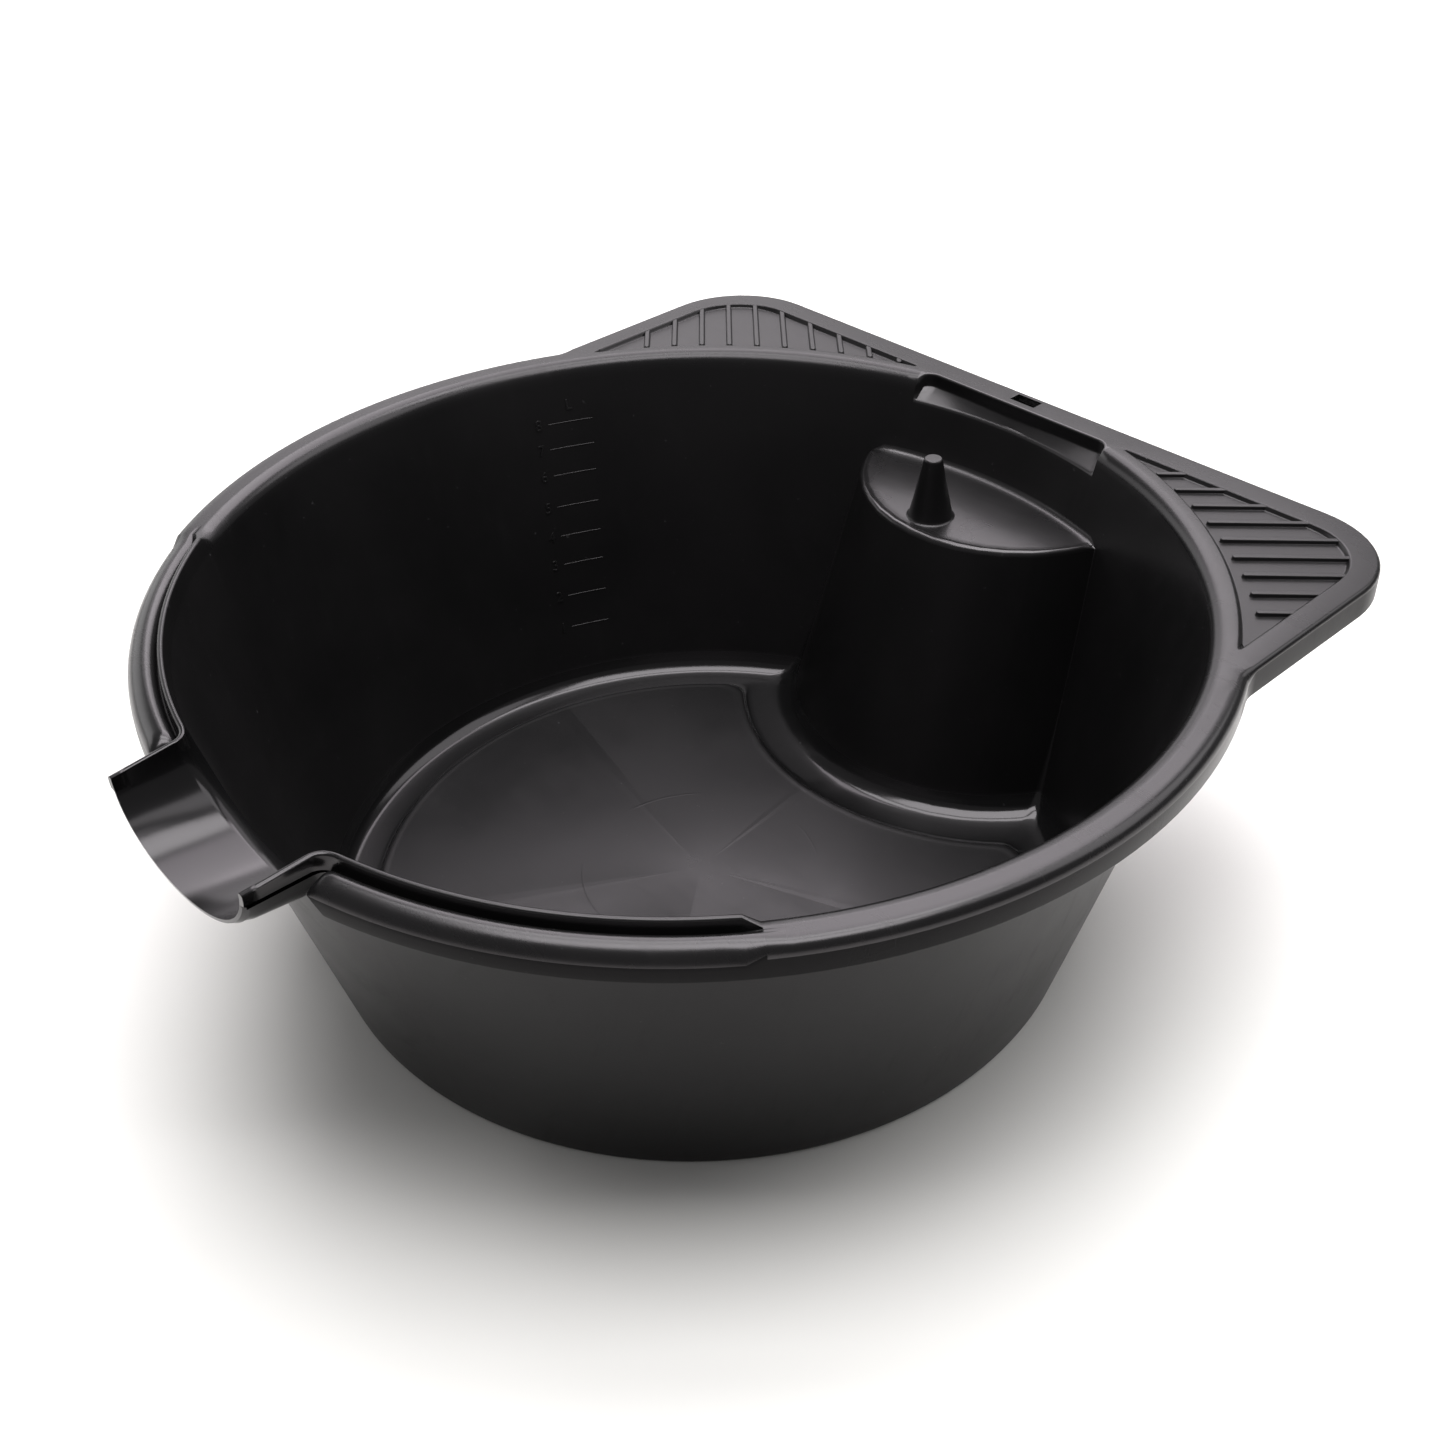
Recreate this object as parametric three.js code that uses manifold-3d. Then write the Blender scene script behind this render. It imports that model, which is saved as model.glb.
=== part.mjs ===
// Oil drain pan: one-piece injection moulding, modelled as its functional regions.
// Millimetres, +Z up, +Y points to the grip edge, -Y to the pouring spout.
// Shapes are drawn about the basin's axis; the finished group is moved so that the
// origin lies on the ground under the middle of the whole outline.
import * as THREE from 'three';
import { mergeVertices } from 'three/addons/utils/BufferGeometryUtils.js';
import Module from 'manifold-3d';

const wasm = await Module();
wasm.setup();

// ---- driving dimensions (mm) ----
const SEGMENTS = 96;
const GAP = 0.3;
const SKIN = 2.6;
const RIM_Z = 143;
const RIM_R = 194;
const BASE_R = 145;
const WALL_SLOPE = 0.267;
const WALL_TOP_Z = 139.5;
const WALL_RADIAL_T = 2.69;
const PLATE_Z = 140.4;
const RECESS_TOP_Z = 140.1;
const SKIRT_BOTTOM_Z = 131.7;
const SKIRT_T = 2.3;

const FLOOR_R = 128;
const FLOOR_Z = 2.9;
const FLOOR_COLUMN_Y = 177;
const FLOOR_COLUMN_R = 110;
const FLOOR_LAP = 3;

const COLUMN_FOOT_Y = 167;
const COLUMN_FOOT_R = 80.9;
const COLUMN_HEAD_Y = 180;
const COLUMN_HEAD_R = 62;
const SHELF_Z = 110;
const CONE_X = -3;
const CONE_Y = 134;
const CONE_BASE_R = 9.2;
const CONE_TOP_R = 3.4;
const CONE_HEIGHT = 26;

const EAR_X = 174;
const EAR_Y = 193;
const EAR_CORNER_R = 38;
const EAR_FILLET_R = 15;
const HANDLE_START_DEG = 22;
const BAND_R = 188;
const BORDER_X = 9.3;
const BORDER_Y = 11;
const RECESS_CORNER_R = 28;
const PANEL_LAP = 1.5;
const PANEL_T = 2.6;

const RIB_COUNT = 10;
const RIB_WIDTH = 2;
const RIB_HEIGHT = 2.4;
const RIB_PITCH = 12.1;
const RIB_FIRST = -20.2;
const RIB_ANGLE_DEG = 47;
const RIB_INNER_R = 190;

const TRAY_HALF_WIDTH = 47.6;
const TRAY_BACK_Y = 180.5;
const TRAY_LIP_Z = 132.4;
const TRAY_LIP_Y = 171;
const TRAY_CREASE_Z = 137;
const TRAY_BOTTOM_Z = 130.2;
const TRAY_SIDE_T = 2;

const HANG_HOLE = { x: 12, y: 5.6, centreY: 187.4 };

const GUARD_TOP_Z = 145;
const GUARD_END_DEG = 53.5;
const GUARD_T = 2.2;
const GUARD_CHAMFER = 3;

const SPOUT_HALF_WIDTH = 41.2;
const SPOUT_DEPTH = 26.8;
const SPOUT_T = 2.3;
const SPOUT_TIP_Y = -206;
const SPOUT_TIP_Z = 142;
const RIM_END_X = 48;

const MARK_LEVELS = [29.9, 44.1, 58.2, 70.8, 83.6, 97.2, 108.5, 119.1];
const MARK_FROM_DEG = 241.8;
const MARK_TO_DEG = 248.3;
const MARK_HEIGHT = 1.3;
const MARK_RAISE = 0.7;

const OUTLINE_SHIFT_Y = -(EAR_Y + SPOUT_TIP_Y) / 2;

// ---- helpers ----
const rad = THREE.MathUtils.degToRad;

function toSolid(geometry) {
  const bare = geometry.index ? geometry.toNonIndexed() : geometry.clone();
  bare.deleteAttribute('normal');
  bare.deleteAttribute('uv');
  const merged = mergeVertices(bare, 1e-4);
  const triangles = [];
  const source = merged.index.array;
  for (let i = 0; i < source.length; i += 3) {
    const [a, b, c] = [source[i], source[i + 1], source[i + 2]];
    if (a !== b && b !== c && c !== a) triangles.push(a, b, c);
  }
  return new wasm.Manifold(new wasm.Mesh({
    numProp: 3,
    vertProperties: Float32Array.from(merged.attributes.position.array),
    triVerts: Uint32Array.from(triangles),
  }));
}

function toGeometry(solid) {
  const mesh = solid.getMesh();
  const geometry = new THREE.BufferGeometry();
  const stride = mesh.numProp;
  const positions = new Float32Array(mesh.numVert * 3);
  for (let i = 0; i < mesh.numVert; i += 1) {
    for (let k = 0; k < 3; k += 1) positions[i * 3 + k] = mesh.vertProperties[i * stride + k];
  }
  geometry.setAttribute('position', new THREE.BufferAttribute(positions, 3));
  geometry.setIndex(new THREE.BufferAttribute(Uint32Array.from(mesh.triVerts), 1));
  const flat = geometry.toNonIndexed();
  flat.computeVertexNormals();
  return flat;
}

// Closed (r, z) profile turned about Z.
function turn(profile) {
  const points = profile.map(([r, z]) => new THREE.Vector2(r, z));
  points.push(points[0].clone());
  const area = THREE.ShapeUtils.area(points);
  if (area < 0) points.reverse();
  const geometry = new THREE.LatheGeometry(points, SEGMENTS);
  geometry.rotateX(Math.PI / 2);
  const solid = toSolid(geometry);
  return solid;
}

function cone(bottomR, topR, z0, z1, segments = SEGMENTS) {
  const geometry = new THREE.CylinderGeometry(topR, bottomR, z1 - z0, segments);
  geometry.rotateX(Math.PI / 2);
  geometry.translate(0, 0, (z0 + z1) / 2);
  return toSolid(geometry);
}

function prism(points, z0, z1) {
  const shape = new THREE.Shape(points.map(([x, y]) => new THREE.Vector2(x, y)));
  const geometry = new THREE.ExtrudeGeometry(shape, { depth: z1 - z0, bevelEnabled: false });
  geometry.translate(0, 0, z0);
  return toSolid(geometry);
}

function box(x0, x1, y0, y1, z0, z1) {
  const geometry = new THREE.BoxGeometry(x1 - x0, y1 - y0, z1 - z0);
  geometry.translate((x0 + x1) / 2, (y0 + y1) / 2, (z0 + z1) / 2);
  return toSolid(geometry);
}

// Straight loft between two circles whose centres lie on the Y axis.
function leaningCone(y0, r0, z0, y1, r1, z1, segments = 64) {
  const positions = [];
  const ring = (cy, r, z, i) => {
    const a = (i / segments) * Math.PI * 2;
    return [r * Math.cos(a), cy + r * Math.sin(a), z];
  };
  for (let i = 0; i < segments; i += 1) {
    const a = ring(y0, r0, z0, i);
    const b = ring(y0, r0, z0, i + 1);
    const c = ring(y1, r1, z1, i + 1);
    const d = ring(y1, r1, z1, i);
    positions.push(...a, ...b, ...c, ...a, ...c, ...d);
    positions.push(0, y0, z0, ...b, ...a);
    positions.push(0, y1, z1, ...d, ...c);
  }
  const geometry = new THREE.BufferGeometry();
  geometry.setAttribute('position', new THREE.BufferAttribute(new Float32Array(positions), 3));
  return toSolid(geometry);
}

// Directions are measured from -Y (the spout), positive towards +X.
function towards(deg, r) {
  return [r * Math.sin(rad(deg)), -r * Math.cos(rad(deg))];
}

function sector(fromDeg, toDeg) {
  const steps = Math.ceil((toDeg - fromDeg) / 20);
  const points = [[0, 0]];
  for (let i = 0; i <= steps; i += 1) {
    points.push(towards(fromDeg + ((toDeg - fromDeg) * i) / steps, 420));
  }
  return prism(points, -10, 200);
}

function arc(cx, cy, r, fromDeg, toDeg, steps) {
  const points = [];
  for (let i = 0; i <= steps; i += 1) {
    const a = rad(fromDeg + ((toDeg - fromDeg) * i) / steps);
    points.push([cx + r * Math.cos(a), cy + r * Math.sin(a)]);
  }
  return points;
}

function mirrorPoints(points) {
  return points.map(([x, y]) => [-x, y]).reverse();
}

function mirrored(solid) {
  return solid.mirror([1, 0, 0]);
}

const wallOuter = (z) => BASE_R + WALL_SLOPE * z;
const wallInner = (z) => wallOuter(z) - WALL_RADIAL_T;

function basinSpace(offset) {
  const low = -10;
  const high = 200;
  return cone(wallInner(low) + offset, wallInner(high) + offset, low, high);
}

function columnSpace(offset, z0, z1) {
  const at = (z) => (z - FLOOR_Z) / (SHELF_Z - FLOOR_Z);
  const y = (z) => COLUMN_FOOT_Y + (COLUMN_HEAD_Y - COLUMN_FOOT_Y) * at(z);
  const r = (z) => COLUMN_FOOT_R + (COLUMN_HEAD_R - COLUMN_FOOT_R) * at(z);
  return leaningCone(y(z0), r(z0) + offset, z0, y(z1), r(z1) + offset, z1);
}

// Half-elliptical trough section extruded along Y.
function troughSpace(halfWidth, depth, y0, y1) {
  const points = [[halfWidth, 170], [-halfWidth, 170]];
  const steps = 20;
  for (let i = 0; i <= steps; i += 1) {
    const a = Math.PI + (Math.PI * i) / steps;
    points.push([halfWidth * Math.cos(a), RIM_Z + depth * Math.sin(a)]);
  }
  const shape = new THREE.Shape(points.map(([x, z]) => new THREE.Vector2(x, z)));
  const geometry = new THREE.ExtrudeGeometry(shape, { depth: y1 - y0, bevelEnabled: false });
  geometry.rotateX(Math.PI / 2);
  geometry.translate(0, y1, 0);
  return toSolid(geometry);
}

// Outline of the rim's grip edge, moved inwards by an inset.
function gripOutline(inset, startDeg) {
  const rim = RIM_R - inset;
  const side = EAR_X - inset;
  const fillet = EAR_FILLET_R + inset;
  const filletX = side + fillet;
  const filletY = Math.sqrt((rim + fillet) ** 2 - filletX ** 2);
  const touchDeg = THREE.MathUtils.radToDeg(Math.atan2(filletY, filletX));
  const corner = EAR_CORNER_R - inset;
  const right = [
    ...arc(0, 0, rim, startDeg, touchDeg, 2),
    ...arc(filletX, filletY, fillet, 180 + touchDeg, 180, 4).slice(1),
    ...arc(side - corner, EAR_Y - inset - corner, corner, 0, 90, 12),
  ];
  return [[0, 0], ...right, ...mirrorPoints(right)];
}

// Sunk grip area of the right ear, grown outwards by a lap.
function recessSpace(lap, z0, z1) {
  const x = EAR_X - BORDER_X + lap;
  const y = EAR_Y - BORDER_Y + lap;
  const corner = RECESS_CORNER_R + lap;
  const outline = [
    [30, 30],
    [x, 30],
    ...arc(x - corner, y - corner, corner, 0, 90, 8),
    [30, y],
  ];
  const band = cone(BAND_R - lap, BAND_R - lap, z0 - 1, z1 + 1);
  return prism(outline, z0, z1).subtract(band);
}

// ---- assembly ----
const group = new THREE.Group();
group.name = 'oil_drain_pan';
group.position.set(0, OUTLINE_SHIFT_Y, 0);

function add(name, solid, color = 0x1c1c1e) {
  const material = new THREE.MeshStandardMaterial({ color, roughness: 0.42, metalness: 0 });
  material.name = `${name}_plastic`;
  const mesh = new THREE.Mesh(toGeometry(solid), material);
  mesh.name = name;
  group.add(mesh);
}

function addPair(name, solid) {
  add(`${name}_right`, solid);
  add(`${name}_left`, mirrored(solid));
}

// base
const floorColumn = cone(FLOOR_COLUMN_R, FLOOR_COLUMN_R, -5, 20).translate([0, FLOOR_COLUMN_Y, 0]);
add('floor_plate', cone(FLOOR_R, FLOOR_R, FLOOR_Z, FLOOR_Z + SKIN).subtract(floorColumn));

const lapColumn = cone(FLOOR_COLUMN_R + FLOOR_LAP, FLOOR_COLUMN_R + FLOOR_LAP, -5, 20)
  .translate([0, FLOOR_COLUMN_Y, 0]);
const floorOpening = cone(FLOOR_R - FLOOR_LAP, FLOOR_R - FLOOR_LAP, -5, 20).subtract(lapColumn);
add('foot_ring', cone(BASE_R, wallOuter(SKIN), 0, SKIN)
  .subtract(floorOpening)
  .subtract(columnSpace(-SKIN, -5, 20)));

// wall
const columnCut = columnSpace(GAP, -20, SHELF_Z + GAP);
const trayCut = box(
  -TRAY_HALF_WIDTH - TRAY_SIDE_T - GAP, TRAY_HALF_WIDTH + TRAY_SIDE_T + GAP,
  120, 200, TRAY_BOTTOM_Z - GAP, 200,
);
const spoutCut = troughSpace(SPOUT_HALF_WIDTH + GAP, SPOUT_DEPTH + GAP, -230, -120);
const wall = turn([
  [wallInner(FLOOR_Z), FLOOR_Z],
  [wallOuter(FLOOR_Z), FLOOR_Z],
  [wallOuter(WALL_TOP_Z), WALL_TOP_Z],
  [wallInner(WALL_TOP_Z), WALL_TOP_Z],
]);
add('basin_wall', wall.subtract(columnCut).subtract(trayCut).subtract(spoutCut));

// filter column, shelf and draining cone
const insideWall = basinSpace(-GAP);
add('filter_column', columnSpace(0, FLOOR_Z, SHELF_Z - SKIN - GAP)
  .subtract(columnSpace(-SKIN, -5, 130))
  .intersect(insideWall));
const coneBore = cone(CONE_BASE_R - SKIN, CONE_BASE_R - SKIN, 60, 120, 32).translate([CONE_X, CONE_Y, 0]);
add('filter_shelf', columnSpace(0, SHELF_Z - SKIN, SHELF_Z).intersect(insideWall).subtract(coneBore));
const coneZ = SHELF_Z + GAP;
const coneSkin = cone(CONE_BASE_R, CONE_TOP_R, coneZ, coneZ + CONE_HEIGHT, 32)
  .subtract(cone(CONE_BASE_R - SKIN, CONE_TOP_R - 2.2, coneZ - 0.01, coneZ + CONE_HEIGHT - SKIN, 32));
add('drain_cone', coneSkin.translate([CONE_X, CONE_Y, 0]));

// rim
const HANDLE_DIR = 90 + HANDLE_START_DEG;
const spoutGap = box(-RIM_END_X, RIM_END_X, -230, -100, 100, 170);
const flangeSection = [
  [wallInner(WALL_TOP_Z + GAP), WALL_TOP_Z + GAP],
  [181.2, 142.2],
  [183.2, RIM_Z],
  [190, RIM_Z],
  [192.6, 142.2],
  [RIM_R, WALL_TOP_Z + GAP],
  [RIM_R - SKIRT_T, WALL_TOP_Z + GAP],
  [191, PLATE_Z],
  [185.2, PLATE_Z],
  [wallOuter(WALL_TOP_Z + GAP), WALL_TOP_Z + GAP],
];
addPair('rim_flange', turn(flangeSection).intersect(sector(GUARD_END_DEG + 0.1, HANDLE_DIR - 0.05)));
const beadSection = [
  [183, 137.4],
  [183, 139.2],
  [186, 139.2],
  [186.8, 142],
  [188.6, RIM_Z],
  [191, RIM_Z],
  [193, 141.9],
  [RIM_R, WALL_TOP_Z + GAP],
  [RIM_R - SKIRT_T, WALL_TOP_Z + GAP],
  [190, 140.2],
  [188.4, 139.6],
  [187.8, 137.4],
];
addPair('rim_bead', turn(beadSection).intersect(sector(0, GUARD_END_DEG - 0.1)).subtract(spoutGap));
const skirt = turn([
  [RIM_R - SKIRT_T, SKIRT_BOTTOM_Z],
  [RIM_R, SKIRT_BOTTOM_Z],
  [RIM_R, WALL_TOP_Z],
  [RIM_R - SKIRT_T, WALL_TOP_Z],
]);
addPair('rim_skirt', skirt.intersect(sector(0, HANDLE_DIR - 0.05)).subtract(spoutGap));

// splash guards and spout
const guardLow = WALL_TOP_Z + GAP;
const guardOuter = wallInner(guardLow) + GUARD_T;
const guard = turn([
  [wallInner(guardLow), guardLow],
  [guardOuter, guardLow],
  [guardOuter + 1, GUARD_TOP_Z],
  [guardOuter - 0.7, GUARD_TOP_Z],
]);
const guardNose = prism([[0, 0], towards(GUARD_END_DEG - 1.6, 420), towards(GUARD_END_DEG + 3, 420)],
  GUARD_TOP_Z - GUARD_CHAMFER, 200);
const spoutSide = box(-SPOUT_HALF_WIDTH - GAP, SPOUT_HALF_WIDTH + GAP, -230, -100, 100, 170);
addPair('splash_guard', guard
  .intersect(sector(0, GUARD_END_DEG - 0.1))
  .subtract(guardNose)
  .subtract(spoutSide));

const troughSkin = troughSpace(SPOUT_HALF_WIDTH, SPOUT_DEPTH, SPOUT_TIP_Y, -160)
  .subtract(troughSpace(SPOUT_HALF_WIDTH - SPOUT_T, SPOUT_DEPTH - SPOUT_T, -230, -100));
const spoutTop = toSolid((() => {
  const side = new THREE.Shape([
    new THREE.Vector2(-230, SPOUT_TIP_Z - 2),
    new THREE.Vector2(SPOUT_TIP_Y, SPOUT_TIP_Z),
    new THREE.Vector2(-182, GUARD_TOP_Z),
    new THREE.Vector2(-100, GUARD_TOP_Z),
    new THREE.Vector2(-100, 220),
    new THREE.Vector2(-230, 220),
  ]);
  const geometry = new THREE.ExtrudeGeometry(side, { depth: 120, bevelEnabled: false });
  geometry.rotateX(Math.PI / 2);
  geometry.rotateZ(Math.PI / 2);
  geometry.translate(-60, 0, 0);
  return geometry;
})());
add('pour_spout', troughSkin.subtract(basinSpace(0)).subtract(spoutTop));

// grip edge: border frame, sunk panels, ribs and outer skirts
const frameOutline = prism(gripOutline(0, HANDLE_START_DEG), PLATE_Z, RIM_Z);
const bore = cone(180.2, 181.2, PLATE_Z - 1, RIM_Z + 1);
const trayMouth = box(-TRAY_HALF_WIDTH, TRAY_HALF_WIDTH, 100, TRAY_BACK_Y, 120, 160);
const hangHole = box(
  -HANG_HOLE.x / 2, HANG_HOLE.x / 2,
  HANG_HOLE.centreY - HANG_HOLE.y / 2, HANG_HOLE.centreY + HANG_HOLE.y / 2, 120, 160,
);
const recess = recessSpace(0, PLATE_Z - 1, RIM_Z + 1);
add('grip_frame', frameOutline
  .subtract(bore)
  .subtract(trayMouth)
  .subtract(hangHole)
  .subtract(recess)
  .subtract(mirrored(recess)));
const panelEnd = box(TRAY_HALF_WIDTH + TRAY_SIDE_T + GAP, 230, 0, 230, 100, 170);
addPair('grip_panel', recessSpace(PANEL_LAP, RECESS_TOP_Z - PANEL_T, RECESS_TOP_Z).intersect(panelEnd));

const skirtRing = prism(gripOutline(0, HANDLE_START_DEG), SKIRT_BOTTOM_Z, RECESS_TOP_Z)
  .subtract(prism(gripOutline(SKIRT_T, HANDLE_START_DEG - 4), SKIRT_BOTTOM_Z - 1, RIM_Z))
  .subtract(cone(160, 160, 100, 160));
const backHalf = 100;
addPair('grip_skirt', skirtRing.intersect(box(backHalf + GAP, 230, 0, 230, 100, 170)));
add('grip_skirt_back', skirtRing.intersect(box(-backHalf, backHalf, 0, 230, 100, 170)));

// Each rib lies along a line parallel to the ear's diagonal and ends at the border.
function gripRib(index) {
  const along = rad(90 - RIB_ANGLE_DEG);
  const direction = new THREE.Vector2(Math.cos(along), Math.sin(along));
  const normal = new THREE.Vector2(-direction.y, direction.x);
  const offset = RIB_FIRST + RIB_PITCH * index;
  const start = Math.sqrt(RIB_INNER_R ** 2 - offset ** 2);
  const half = RIB_WIDTH / 2;
  const at = (t, side) => [
    direction.x * t + normal.x * (offset + side),
    direction.y * t + normal.y * (offset + side),
  ];
  const outline = [at(start + 0.7, -half), at(330, -half), at(330, half), at(start + 0.7, half)];
  outline.push(at(start, half * 0.5), at(start, -half * 0.5));
  const bar = prism(outline, PLATE_Z, PLATE_Z + RIB_HEIGHT);
  return bar.intersect(recessSpace(-GAP, PLATE_Z - 1, RIM_Z + 1));
}
for (let i = 0; i < RIB_COUNT; i += 1) {
  const rib = gripRib(i);
  const number = String(i + 1).padStart(2, '0');
  add(`grip_rib_right_${number}`, rib);
  add(`grip_rib_left_${number}`, mirrored(rib));
}

// resting ledge sunk into the rim at the grip edge
const trayWide = TRAY_HALF_WIDTH + TRAY_SIDE_T;
const trayBlock = box(-trayWide, trayWide, 120, TRAY_BACK_Y + SKIN, TRAY_BOTTOM_Z, RECESS_TOP_Z)
  .subtract(basinSpace(0));
const slopeRise = (TRAY_CREASE_Z - TRAY_LIP_Z) / (TRAY_BACK_Y - TRAY_LIP_Y);
const traySpace = toSolid((() => {
  const side = new THREE.Shape([
    new THREE.Vector2(100, TRAY_LIP_Z - slopeRise * (TRAY_LIP_Y - 100)),
    new THREE.Vector2(TRAY_BACK_Y, TRAY_CREASE_Z),
    new THREE.Vector2(TRAY_BACK_Y, 170),
    new THREE.Vector2(100, 170),
  ]);
  const geometry = new THREE.ExtrudeGeometry(side, { depth: 2 * TRAY_HALF_WIDTH, bevelEnabled: false });
  geometry.rotateX(Math.PI / 2);
  geometry.rotateZ(Math.PI / 2);
  geometry.translate(-TRAY_HALF_WIDTH, 0, 0);
  return geometry;
})());
add('rest_ledge', trayBlock.subtract(traySpace));

// raised level marks, one per litre
MARK_LEVELS.forEach((level, index) => {
  const low = level - MARK_HEIGHT / 2;
  const high = level + MARK_HEIGHT / 2;
  const mark = turn([
    [wallInner(low) - GAP - MARK_RAISE, low],
    [wallInner(low) - GAP, low],
    [wallInner(high) - GAP, high],
    [wallInner(high) - GAP - MARK_RAISE, high],
  ]);
  add(`litre_mark_${index + 1}`, mark.intersect(sector(MARK_FROM_DEG, MARK_TO_DEG)), 0x2a2a2c);
});

export default group;
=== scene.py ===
import math

import bmesh
import bpy
import numpy as np
from mathutils import Matrix, Vector


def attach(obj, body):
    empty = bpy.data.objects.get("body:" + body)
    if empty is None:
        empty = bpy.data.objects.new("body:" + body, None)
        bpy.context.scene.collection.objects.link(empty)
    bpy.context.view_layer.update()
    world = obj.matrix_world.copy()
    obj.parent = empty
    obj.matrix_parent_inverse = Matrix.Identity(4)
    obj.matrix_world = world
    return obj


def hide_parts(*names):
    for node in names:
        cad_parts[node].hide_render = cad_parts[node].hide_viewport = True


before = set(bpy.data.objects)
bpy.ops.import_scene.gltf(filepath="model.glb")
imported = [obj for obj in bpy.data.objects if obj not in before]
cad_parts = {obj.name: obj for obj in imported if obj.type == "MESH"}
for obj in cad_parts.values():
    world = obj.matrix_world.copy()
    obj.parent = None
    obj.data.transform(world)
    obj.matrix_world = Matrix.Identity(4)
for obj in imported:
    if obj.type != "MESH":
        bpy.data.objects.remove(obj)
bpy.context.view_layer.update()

# ---------------------------------------------------------------- dimensions (mm)
# Drawn about the basin's own axis, which lies AXIS_Y behind the frame's origin. Pairs for the
# floor plate's bite and the filter column are (centre y, radius).
AXIS_Y = 6.5
# rim and wall; the wall's radius grows by WALL_SLOPE per mm of height
RIM_Z = 143.0
RIM_R = 194.0
RIM_ROUND = 3.8
WALL_BASE_R = 142.31
WALL_SLOPE = 0.267
WALL_TOP_Z = 138.5
SKIN = 2.5
WALL_ACROSS = 2.588  # the skin measured level across the sloping wall
# floor plate and the channel round it
FOOT_Z = 10.4
PLATE_Z = 5.3
PLATE_R = 127.7
PLATE_COLUMN = (177.0, 110.0)
PLATE_CREASE_R = 9.0
# filter column, its shelf and the draining cone
COLUMN_FOOT = (167.0, 80.9)
COLUMN_HEAD = (180.0, 62.0)
COLUMN_FOOT_Z = 2.9
COLUMN_TAPER_HEIGHT = 107.1
COLUMN_TOP_Z = 108.8
SHELF_RISE = 1.2
SHELF_TIP_FADE = 9.0
CREASE_R = 0.3
FOOT_CREASE_R = CREASE_R + 2.7
CONE_X = -3.0
CONE_Y = 134.0
# splash guard, angles from the spout in degrees
GUARD_END = 53.5
GUARD_CHAMFER = 1.7
GUARD_TOP_Z = 145.0
GUARD_DROP_Y = -183.0
# spout: half width and depth of the channel at the wall, behind its turn and at the tip
U_OUTER = (44.5, 31.0)
U_INNER = (37.0, 27.0)
U_TIP = (36.4, 22.8)
SILL_Y = -177.2
TIP_LEAN = 1.2
SPOUT_TIP_Y = -206.0
SPOUT_TIP_Z = 143.6
# grip edge, its corners and their sunk panels
HANDLE_START = 112.0
EAR_X = 174.0
EAR_Y = 193.0
EAR_CORNER_R = 38.0
EAR_FILLET_R = 15.0
EAR_ROUND = 1.7
PANEL_Z = 141.2
PANEL_X = 164.7
PANEL_Y = 182.0
PANEL_BACK_X = 54.0
PANEL_CORNER_R = 28.0
BAND_R = 188.0
# resting ledge: centre and radius of its rounded corner, straight back, lip and head of its slope
TRAY_CORNER = (41.6, 174.5, 6.0)
TRAY_BACK_Y = 180.5
TRAY_LOW_Z = 133.42
TRAY_HIGH_Z = 137.2
TRAY_FROM = 164.7
TRAY_WALL_R = 177.6
TRAY_WALL_HALF = 46.8
LEDGE_WALL_Z = 132.0
# hanging slot
HOLE_HALF = 6.0
HOLE_FROM = 184.6
HOLE_TO = 190.2


def lerp(a, b, t):
    return a + (b - a) * t


def wall_r(z):
    return WALL_BASE_R + WALL_SLOPE * z


def at(r, alpha, z):
    """Point at radius r; alpha in degrees from the spout, towards +X."""
    a = math.radians(alpha)
    return (r * math.sin(a), -r * math.cos(a), z)


def alpha_of(x, y):
    return math.degrees(math.atan2(x, -y))


def column_at(z):
    """The filter column's centre y and radius at a height; it tapers evenly."""
    t = (z - COLUMN_FOOT_Z) / COLUMN_TAPER_HEIGHT
    return lerp(COLUMN_FOOT[0], COLUMN_HEAD[0], t), lerp(COLUMN_FOOT[1], COLUMN_HEAD[1], t)


# ---------------------------------------------------------------- mesh store
REGIONS = [
    "floor_plate", "foot_ring", "basin_wall", "filter_column", "filter_shelf", "pour_spout",
    "spout_side", "splash_guard", "rim_bead", "rim_skirt", "rim_flange", "grip_frame",
    "grip_panel", "grip_skirt", "rest_ledge", "foot_side",
]
BACKED = {
    "floor_plate", "basin_wall", "filter_column", "filter_shelf", "pour_spout",
    "grip_frame", "grip_panel", "rest_ledge",
}


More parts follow.
